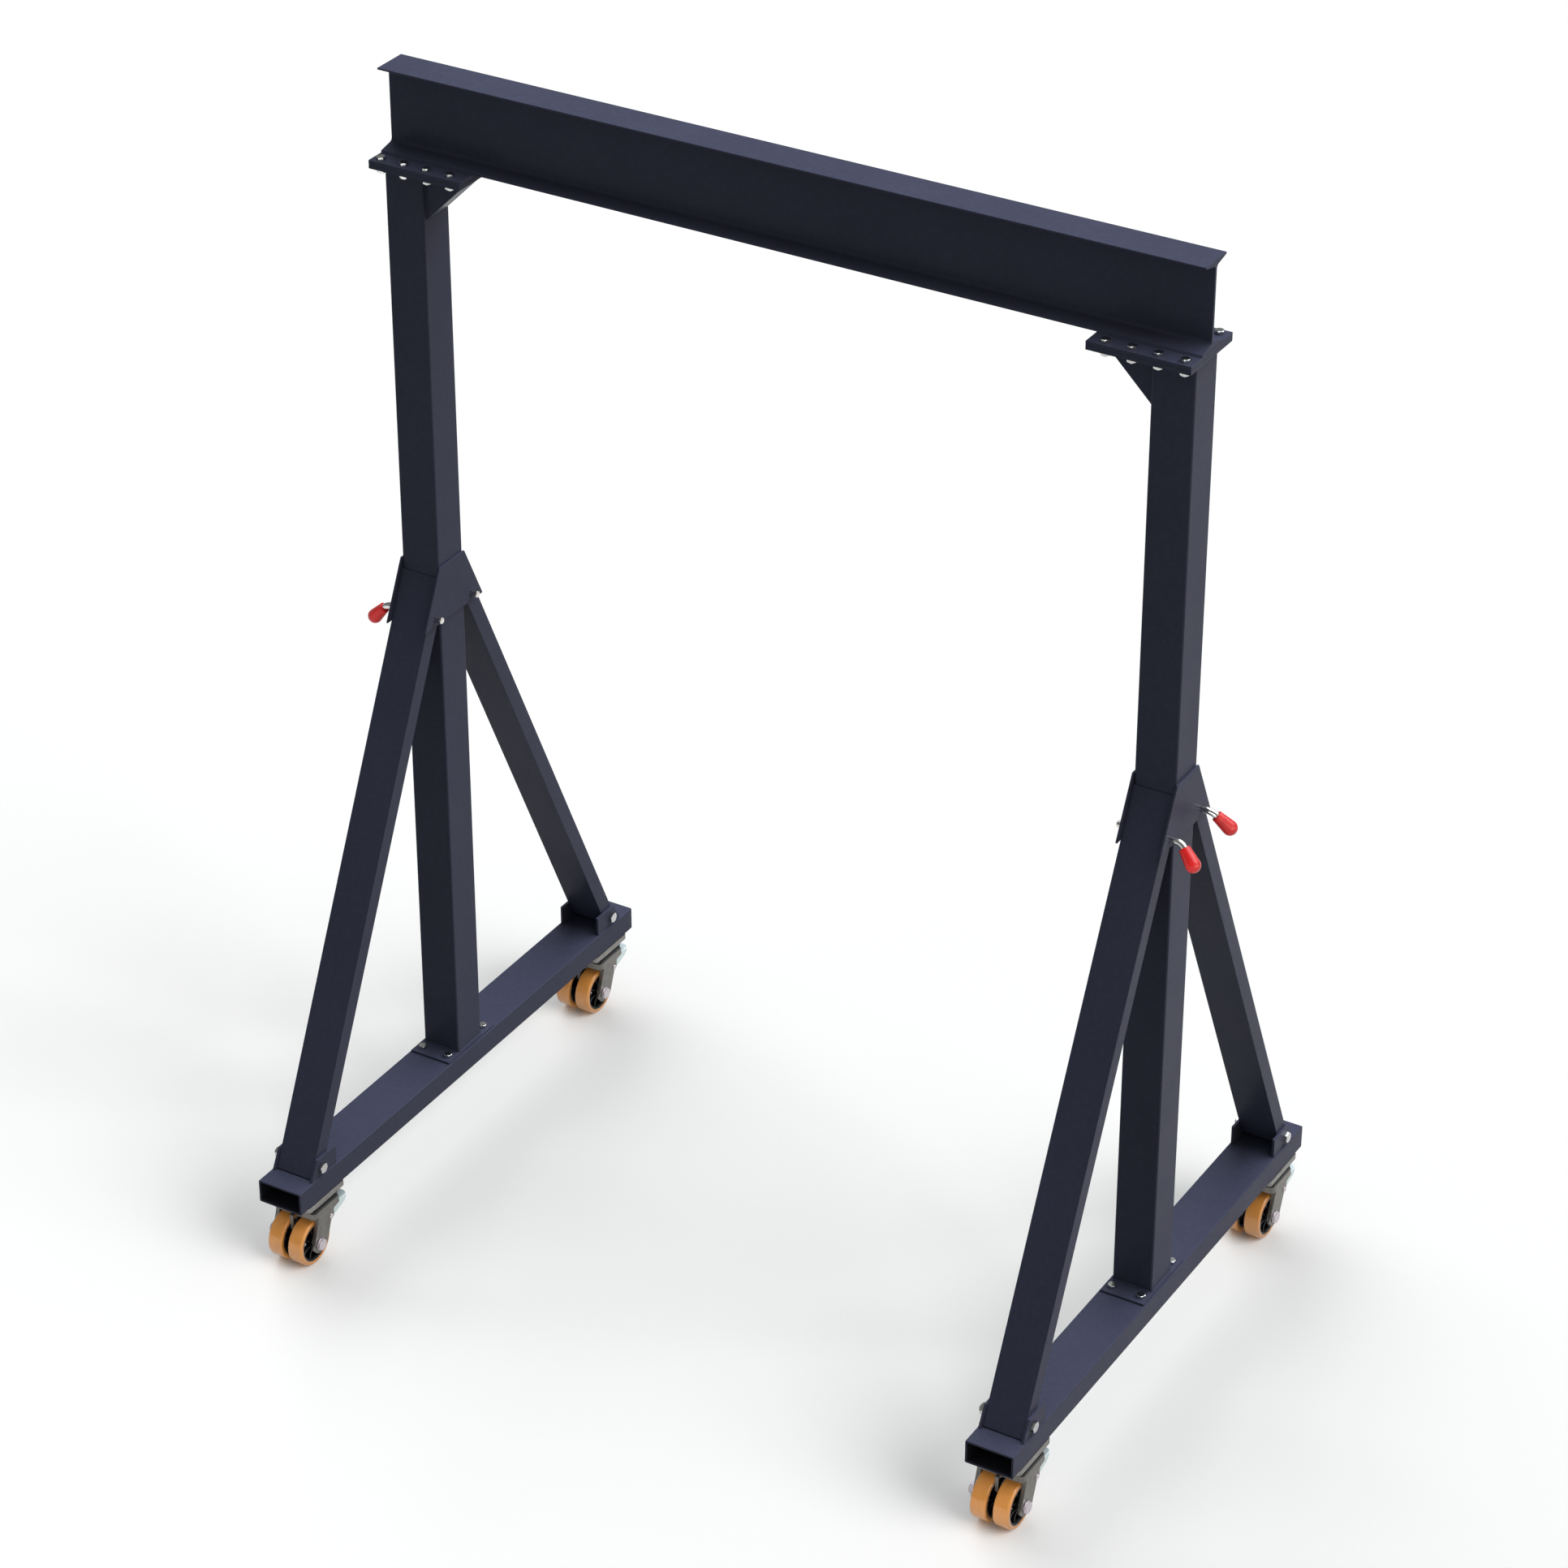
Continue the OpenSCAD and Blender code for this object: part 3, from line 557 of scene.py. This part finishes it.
def pivot_bolts():
    """One bolt across the lugs at each brace's foot, with its head on the +X side."""
    shape = Shape()
    a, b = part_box("pivot_bolts")
    z = (a.z + b.z) / 2
    off = 636
    for side, _ in SIDES:
        for _, way in ENDS:
            spot = (leg_centre(side) + LUG_FACE * MM, way * off * MM, z)
            place = along((1, 0, 0), spot) @ Matrix.Rotation(random.uniform(0, 1), 4, "Z")
            bolt(shape, place, M16, 2 * LUG_FACE)
    add("pivot_bolt_set", shape, "bolt_zinc", "frame", ["pivot_bolts"], smooth=28)


# ---------------------------------------------------------------- locking pins

def pin_frame(side, sign, end, way):
    """The pin's own frame: X outwards along it, its handle bent down, and on the right leg rolled
    off the mast."""
    lean = math.radians(22) if side == "right" else 0.0
    a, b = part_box(f"lock_pin_{side}_{end}")
    y = a.y + PIN_R * MM if way > 0 else b.y - PIN_R * MM
    place = Matrix.Translation((leg_centre(side), y, b.z - PIN_R * MM))
    return place @ mirrored(sign) @ Matrix.Rotation(way * lean, 4, "X") @ LOCAL


def bend_points():
    """The bent end of a pin in its own x-z plane: round the bend and on into the grip. Also gives
    where the bend ends and its heading there."""
    bend, r, x0, steps = math.radians(47.5), 28.0, 68.7, 14
    points = []
    for i in range(steps + 1):
        a = bend * i / steps
        points.append((x0 + r * math.sin(a), 0, r * (math.cos(a) - 1)))
    last = points[-1]
    heading = (math.cos(bend), 0, -math.sin(bend))
    points += [tuple(last[k] + d * heading[k] for k in range(3)) for d in (6, 20)]
    return points, last, heading


def lock_pin(side, sign, end, way):
    """A bent pin with a chamfered tip, and the moulded grip on its handle."""
    place = pin_frame(side, sign, end, way)
    points, last, heading = bend_points()
    straight = [(x, 0, 0) for x in (-74, -73.2, -72, -40, 0, 40, 60)]
    radii = [5.6, 6.8] + [PIN_R] * (len(straight) - 2 + len(points))
    shape = Shape().put(*sweep(straight + points, radii, 28), place)
    name = f"{side}_{end}"
    body = f"lock_pin_{name}"
    add(f"pin_rod_{name}", shape, "pin_chrome", body, [f"lock_pin_{name}"], smooth=40)
    profile = [(8.1, 0.6)] + arc(11.2, 2.4, 1.8, -90, 0, 4)
    profile += [(13.3, 5), (14.5, 15), (15.9, 27), (17.1, 37)]
    profile += arc(0, 42, 17.5, 0, 88, 12) + [(0.05, 59.5)]
    axis = Matrix.Translation(last) @ Vector(heading).to_track_quat("Z", "Y").to_matrix().to_4x4()
    grip = Shape().put(*lathe(profile, 48, closed=False), place @ axis)
    add(f"grip_{name}", grip, "grip_red", body, [f"pin_grip_{name}"], smooth=50)


# ---------------------------------------------------------------- casters

def crown_outline(inset=0.0):
    """The fork crown from above: round front corners and small back ones, anticlockwise."""
    half, front, back = CHEEK_OUT - inset, 52 - inset, 47 - inset
    small, large = 3.0, 12.0 - inset
    points = arc(half - small, back - small, small, 0, 90, 6)
    points += arc(small - half, back - small, small, 90, 180, 6)
    points += arc(large - half, large - front, large, 180, 270, 6)
    points += arc(half - large, large - front, large, 270, 360, 6)
    return points


def caster_frame(name):
    """A caster's own frame in mm: its Z is the swivel axis, with z = 0 under the base tube."""
    return Matrix.Translation(joint_place(f"caster_{name}_swivel")) @ LOCAL


def top_plates():
    """The welded top plates with their kingpins and nuts."""
    plate, nut_low = 13, -48.3
    shape = Shape()
    for side, _ in SIDES:
        for end, _ in ENDS:
            place = caster_frame(f"{side}_{end}")
            shape.put(*prism(round_rect(125, 142, 7), -plate, 0), place)
            shape.put(*prism(circle(10, 32), -46, 0.5 - plate), place)
            shape.put(*hexagon_head(30, 9, both=True), place @ Matrix.Translation((0, 0, nut_low)))
    add("caster_top_plates", shape, "plate_zinc", "frame", ["caster_plates"], bevel=0.9)


def raceway(name):
    """The dark swivel race: two pressed shells with a grease gap between them."""
    place = caster_frame(name)
    shape = Shape()
    for inset, z0, z1 in ((1.5, -19.5, -13.4), (5.0, -24.5, -19.0), (1.5, CROWN_TOP, -24)):
        shape.put(*prism(crown_outline(inset), z0, z1), place)
    add(f"race_{name}", shape, "raceway_black", f"caster_{name}", [f"raceway_{name}"], bevel=0.8)


def cheek_outline():
    """A fork cheek in (y, z), clockwise from its front top corner."""
    front = [(-38, CROWN_LOW), (-37.5, -46), (-36, -50), (-57, -112)]
    hook = [(-63.5, -115.5), (-66, -119.5), (-65, -125)]
    low = arc(AXLE_Y, AXLE_Z, 24, 203, 318, 12)
    rear = [(-7.5, -131), (12, -80), (22, -75.5), (24, -72), (24, -56), (26, -52.5)]
    rear += [(45, -48.8), (47, -47), (47, CROWN_LOW)]
    return front + hook + low + rear


def lip_outline():
    """The crown's turned-down front lip from above, as a strip bent round both front corners."""
    x, y, out, inner, end = 49.5, -40, 11.85, 7, -30
    outside = arc(-x, y, out, 180, 270, 6) + arc(x, y, out, 270, 360, 6)
    inside = arc(x, y, inner, 360, 270, 6) + arc(-x, y, inner, 270, 180, 6)
    left, right = [(-x - out, end)], [(x + out, end), (x + inner, end)]
    return left + outside + right + inside + [(-x - inner, end)]


def fork(name):
    """The pressed fork: crown and lip, two cheeks with turned-in rims, and the tab between the
    wheels."""
    place = caster_frame(name)
    shape = Shape()
    shape.put(*prism(crown_outline(), CROWN_LOW, CROWN_TOP), place)
    shape.put(*prism(lip_outline(), -47, CROWN_LOW + 1), place)
    tab = [(-62, -86), (-58, -86), (-58, -47), (-49, -47), (-49, -43), (-60, -43), (-62, -45)]
    shape.put(*prism(tab, -4.35, 4.35), place @ UPRIGHT)
    rim = [(-46, -40), (-46, -46.8), (-37.5, -54), (-57, -112), (-52, -113.5), (-32, -52), (-33, -40)]
    rib = [(-14 + 0.33 * (z + 52) + dy, z) for z, dy in ((-56, -3.5), (-56, 3.5), (-98, 3.5), (-98, -3.5))]
    for sign in (-1, 1):
        side = place @ mirrored(sign) @ UPRIGHT
        shape.put(*prism(cheek_outline(), CHEEK_IN, CHEEK_OUT), side)
        shape.put(*prism(rim, 51, CHEEK_IN + 0.5), side)
        shape.put(*prism(rib, CHEEK_OUT - 0.5, CHEEK_OUT - 0.01), side)
    add(f"fork_pressed_{name}", shape, "fork_zinc", f"caster_{name}", [f"fork_{name}"], bevel=1.1)


def spacer(r_in, r_out, z0, z1):
    """A plain ring about Z, from z0 to z1."""
    return lathe([(r_in, z0), (r_out, z0), (r_out, z1), (r_in, z1)], 32)


def axle(name):
    """Axle bolt, nut, washers, spacers and the brake's pivot pin."""
    place = caster_frame(name)
    centre = place @ Matrix.Translation((0, AXLE_Y, AXLE_Z)) @ SIDEWAYS
    head = place @ Matrix.Translation((CHEEK_OUT, AXLE_Y, AXLE_Z)) @ SIDEWAYS
    nut = place @ Matrix.Translation((-CHEEK_OUT, AXLE_Y, AXLE_Z)) @ Matrix.Rotation(-math.pi / 2, 4, "Y")
    shape = Shape()
    for end in (head, nut):
        shape.put(*washer(8.2, 15, 2.0), end @ Matrix.Translation((0, 0, 0.8)))
    shape.put(*hexagon_head(27, 7.6), head @ Matrix.Translation((0, 0, 1.4)) @ Matrix.Rotation(0.35, 4, "Z"))
    shape.put(*prism(circle(7.9, 32), -2 * CHEEK_OUT, 2), head)
    shape.put(*hexagon_head(27, 13.5, both=True), nut @ Matrix.Translation((0, 0, 1.5)))
    shape.put(*threaded_rod(7.9, 16), nut)
    shape.put(*spacer(8.1, 12, -7.2, 7.2), centre)
    dome = [(6.5, CHEEK_OUT), (6.5, 63)]
    dome += [(6.3 * math.cos(t), 63 + 2.8 * math.sin(t)) for t in (0.4, 0.8, 1.2)] + [(0.1, 66)]
    brake = Matrix.Translation((0, BRAKE_Y, BRAKE_Z)) @ SIDEWAYS
    for sign in (-1, 1):
        side = place @ mirrored(sign)
        shape.put(*spacer(8.1, 12, 48.8, CHEEK_IN), side @ Matrix.Translation((0, AXLE_Y, AXLE_Z)) @ SIDEWAYS)
        shape.put(*lathe(dome, 28, closed=False), side @ brake)
    shape.put(*prism(circle(3.95, 24), -61.4, 61.4), place @ brake)
    add(f"axle_set_{name}", shape, "axle_zinc", f"caster_{name}", [f"axle_{name}"], smooth=28)


def pedal(name):
    """The pressed brake lever: a tread plate, a rim round its toe and two turned-down arms."""
    place = caster_frame(name)
    shape = Shape()
    arm = arc(BRAKE_Y, BRAKE_Z, 9, 100, 260, 8)
    arm += [(44, -77), (76, -66), (77, -50), (74, -48.2), (30, -48.2), (22, -55)]
    for sign in (-1, 1):
        shape.put(*prism(arm, 52, 55.8), place @ mirrored(sign) @ UPRIGHT)
    half, wall, x, y, r = 56, 4, 42, 76, 14
    toe = arc(x, y, r, 0, 90, 8) + arc(-x, y, r, 90, 180, 8)
    shape.put(*prism([(half, 30)] + toe + [(-half, 30)], -52, -48), place)
    toe_in = arc(-x, y, r - wall, 180, 90, 8) + arc(x, y, r - wall, 90, 0, 8)
    rim = [(half, 70)] + toe + [(-half, 70), (wall - half, 70)] + toe_in + [(half - wall, 70)]
    shape.put(*prism(rim, -62, -50), place)
    add(f"brake_lever_{name}", shape, "pedal_zinc", f"brake_pedal_{name}", [f"pedal_{name}"], bevel=1.3)


def wheel_frame(name, wheel):
    """A wheel's own frame, in mm: Z out along the axle, from the wheel's inner face. Also gives
    the side it looks to."""
    sign = 1 if wheel == "b" else -1
    centre = joint_place(f"wheel_{name}_{wheel}_spin") + Vector((sign * 8.5 * MM, 0, 0))
    turn = Matrix(((0, 0, sign, 0), (1, 0, 0, 0), (0, sign, 0, 0), (0, 0, 0, 1)))
    return Matrix.Translation(centre) @ turn @ LOCAL, sign


def tread(name, wheel):
    """The amber tyre, crowned a little, with round shoulders."""
    place, _ = wheel_frame(name, wheel)
    seat, r, width = 49.1, 5.4, WHEEL_WIDTH
    profile = [(seat, 0.5), (50.2, 0.0)] + arc(54.6, r, r, -90, 0, 7)
    profile += [(59.95, 13), (60, width / 2), (59.95, width - 13)]
    profile += arc(54.6, width - r, r, 0, 90, 7) + [(50.2, width), (seat, width - 0.5)]
    shape = Shape().put(*lathe(profile, 128), place)
    ref = f"{name}_{wheel}"
    add(f"tyre_{ref}", shape, "tread_amber", f"wheel_{ref}", [f"tread_{ref}"], smooth=50)


def hub(name, wheel):
    """The black core: rim, web, eight ribs and a boss, with a grease nipple and a bearing ring."""
    place, sign = wheel_frame(name, wheel)
    ref = f"{name}_{wheel}"
    shape = Shape()
    rim = [(49.0, 0.6), (49.0, 39.4), (47.5, 39.8), (44.5, 38.6), (43.2, 34)]
    rim += [(42.4, 24), (42.4, 16), (43.2, 6), (44.5, 1.4), (47.5, 0.2)]
    shape.put(*lathe(rim[::-1], 96), place)
    shape.put(*lathe([(14, 15), (43, 15.5), (43, 24.5), (14, 25)], 96), place)
    rib = [(14, 3.5), (30, 5.5), (43.4, 3.0), (43.4, 37), (30, 34.5), (14, 36.5)]
    lay = Matrix(((1, 0, 0, 0), (0, 0, 1, 0), (0, 1, 0, 0), (0, 0, 0, 1)))
    ribs, first = 8, 0.25
    for k in range(ribs):
        turn = Matrix.Rotation(2 * math.pi * k / ribs + first, 4, "Z")
        shape.put(*prism(rib, -2.1, 2.1), place @ turn @ lay)
    boss = [(8.15, -0.9), (13, -0.9), (15.5, 1), (16.6, 14), (16.6, 26), (15.5, 38.6), (13, 40), (8.15, 40)]
    shape.put(*lathe(boss, 64), place)
    add(f"core_{ref}", shape, "hub_black", f"wheel_{ref}", [f"hub_{ref}"], bevel=0.5)
    metal = Shape()
    angle = math.radians(161) * sign
    spot = place @ Matrix.Translation((38 * math.cos(angle), 38 * math.sin(angle), 24))
    metal.put(*hexagon_head(10, 6), spot)
    nipple = [(3.4, 5.8), (3.4, 8.5), (2.6, 9.4), (3.8, 10.6), (3.9, 11.8), (2.6, 13.2), (0.1, 13.6)]
    metal.put(*lathe(nipple, 24, closed=False), spot)
    metal.put(*lathe([(8.6, 39.6), (12.4, 39.6), (12.4, 40.15), (8.6, 40.15)], 40), place)
    add(f"nipple_{ref}", metal, "bolt_zinc", f"wheel_{ref}", smooth=30)


# ---------------------------------------------------------------- welds

def welds():
    """Painted fillet welds where plates and tubes meet."""
    edge, end = MAST_FACE, MAST_FACE - 4
    sides = (((-end, -edge), (end, -edge)), ((-end, edge), (end, edge)))
    sides += (((edge, -end), (edge, end)), ((-edge, -end), (-edge, end)))
    shape = Shape()
    for side, sign in SIDES:
        cx = leg_centre(side)
        for z in (FOOT_TOP, HEAD_LOW):
            for a, b in sides:
                if z == HEAD_LOW and a[0] == b[0] == -edge * sign:
                    continue
                start = (cx + a[0] * MM, a[1] * MM, z)
                weld_bead(shape, start, (cx + b[0] * MM, b[1] * MM, z), 3.2)
        inner, outer = cx - sign * 180 * MM, cx + sign * 59 * MM
        for y in (-end, end):
            weld_bead(shape, (inner, y * MM, BEAM_LOW), (outer, y * MM, BEAM_LOW), 2.6)
        face, near, far = cx - sign * edge * MM, 3 * MM, 118 * MM
        for y in (-38 * MM, 38 * MM):
            weld_bead(shape, (face, y, HEAD_LOW - far), (face, y, HEAD_LOW - near), 2.4)
            weld_bead(shape, (face - sign * near, y, HEAD_LOW), (face - sign * far, y, HEAD_LOW), 2.4)
        lug_in, lug_out = 0.577, 0.674
        for flip in (-1, 1):
            for _, way in ENDS:
                x = cx + flip * LUG_FACE * MM
                weld_bead(shape, (x, way * lug_in, BASE_TOP), (x, way * lug_out, BASE_TOP), 2.4)
    add("weld_beads", shape, "frame_paint", "frame", smooth=60)


beam()
head_bolts()
foot_bolts()
pivot_bolts()
top_plates()
welds()
for side, sign in SIDES:
    for end, way in ENDS:
        corner = f"{side}_{end}"
        lock_pin(side, sign, end, way)
        raceway(corner)
        fork(corner)
        axle(corner)
        pedal(corner)
        for wheel in ("a", "b"):
            tread(corner, wheel)
            hub(corner, wheel)


# ---------------------------------------------------------------- floor, light and camera

def floor():
    """A wide pale floor, softly mottled."""
    mat, tree, shader = material("floor", Specular_IOR_Level=0.2)
    tree.links.new(ramp(tree, noise(tree, 0.4, 3), [(0.3, 0.89), (0.7, 0.91)]), shader.inputs["Base Color"])
    tree.links.new(ramp(tree, noise(tree, 1.5, 3), [(0.3, 0.62), (0.7, 0.72)]), shader.inputs["Roughness"])
    size = 60.0
    corners = [(-size, -size, 0), (size, -size, 0), (size, size, 0), (-size, size, 0)]
    mesh = bpy.data.meshes.new("floor")
    mesh.from_pydata(corners, [], [[0, 1, 2, 3]])
    mesh.materials.append(mat)
    obj = bpy.data.objects.new("floor", mesh)
    bpy.context.scene.collection.objects.link(obj)
    obj.visible_diffuse = False


def sun(name, energy, spread, back, lean, colour=(1, 1, 1)):
    """A soft distant light: how wide it looks, how far behind the crane it stands and how far it
    leans to the right, all in degrees."""
    data = bpy.data.lights.new(name, "SUN")
    data.energy = energy
    data.angle = math.radians(spread)
    data.color = colour
    obj = bpy.data.objects.new(name, data)
    bpy.context.scene.collection.objects.link(obj)
    obj.rotation_euler = (math.radians(-back), math.radians(lean), 0.0)
    return obj


def softbox(name, power, place):
    """A low soft light aimed at the casters."""
    data = bpy.data.lights.new(name, "AREA")
    data.shape = "RECTANGLE"
    data.size, data.size_y = 5.0, 2.0
    data.energy = power
    obj = bpy.data.objects.new(name, data)
    bpy.context.scene.collection.objects.link(obj)
    obj.location = place
    obj.rotation_euler = (Vector((0, 0, 0.4)) - obj.location).to_track_quat("-Z", "Y").to_euler()
    return obj


def light_only(light, pieces, exclude=False):
    """The light reaches only these pieces, or everything but them."""
    group = bpy.data.collections.new(f"{light.name}_group")
    for obj in pieces:
        group.objects.link(obj)
    light.light_linking.receiver_collection = group
    if exclude:
        for entry in group.collection_objects:
            entry.light_linking.link_state = "EXCLUDE"


def lights():
    """A dim even world; four suns for the floor alone, which throw one soft shadow to each side
    of a leg; two suns for all the rest; and low soft lights for the small parts."""
    world = bpy.data.worlds.new("studio")
    bpy.context.scene.world = world
    world.use_nodes = True
    back = world.node_tree.nodes["Background"]
    back.inputs["Color"].default_value = (0.95, 1.0, 0.97, 1.0)
    back.inputs["Strength"].default_value = 0.21
    ground = bpy.data.objects["floor"]
    light_only(sun("dome", 0.25, 120, 0, 10), [ground])
    light_only(sun("key", 2.1, 45, 0, 52), [ground])
    light_only(sun("fill", 1.75, 60, 25, -61), [ground])
    even = sun("even", 0.62, 120, 0, 0)
    even.data.use_shadow = False
    light_only(even, [ground])
    light_only(sun("above", 3.85, 70, 25, 14, (0.94, 0.96, 1.0)), [ground], exclude=True)
    light_only(sun("right", 0.29, 50, 0, 72, (1.0, 0.7, 0.35)), [ground], exclude=True)
    front = (2.0, -6.0, 1.4)
    light_only(softbox("front_metal", 150, front), SMALL_PARTS["metal"])
    soft = softbox("front_soft", 200, front)
    soft.visible_glossy = False
    light_only(soft, SMALL_PARTS["bright"])
    edge = softbox("edge", 70, (4.5, -1.2, 2.2))
    edge.visible_diffuse = False
    light_only(edge, SMALL_PARTS["bright"])


def camera():
    """The photo's view: from the front right, 31 degrees down, on a long lens."""
    data = bpy.data.cameras.new("camera")
    data.sensor_width = 36.0
    data.lens = 111.2
    data.dof.use_dof = False
    obj = bpy.data.objects.new("camera", data)
    bpy.context.scene.collection.objects.link(obj)
    obj.location = (4.7991, -8.0867, 6.9292)
    obj.rotation_euler = (math.radians(58.93), 0.0, math.radians(30.7))
    bpy.context.scene.camera = obj
    bpy.context.scene.view_settings.view_transform = "Standard"


floor()
lights()
camera()
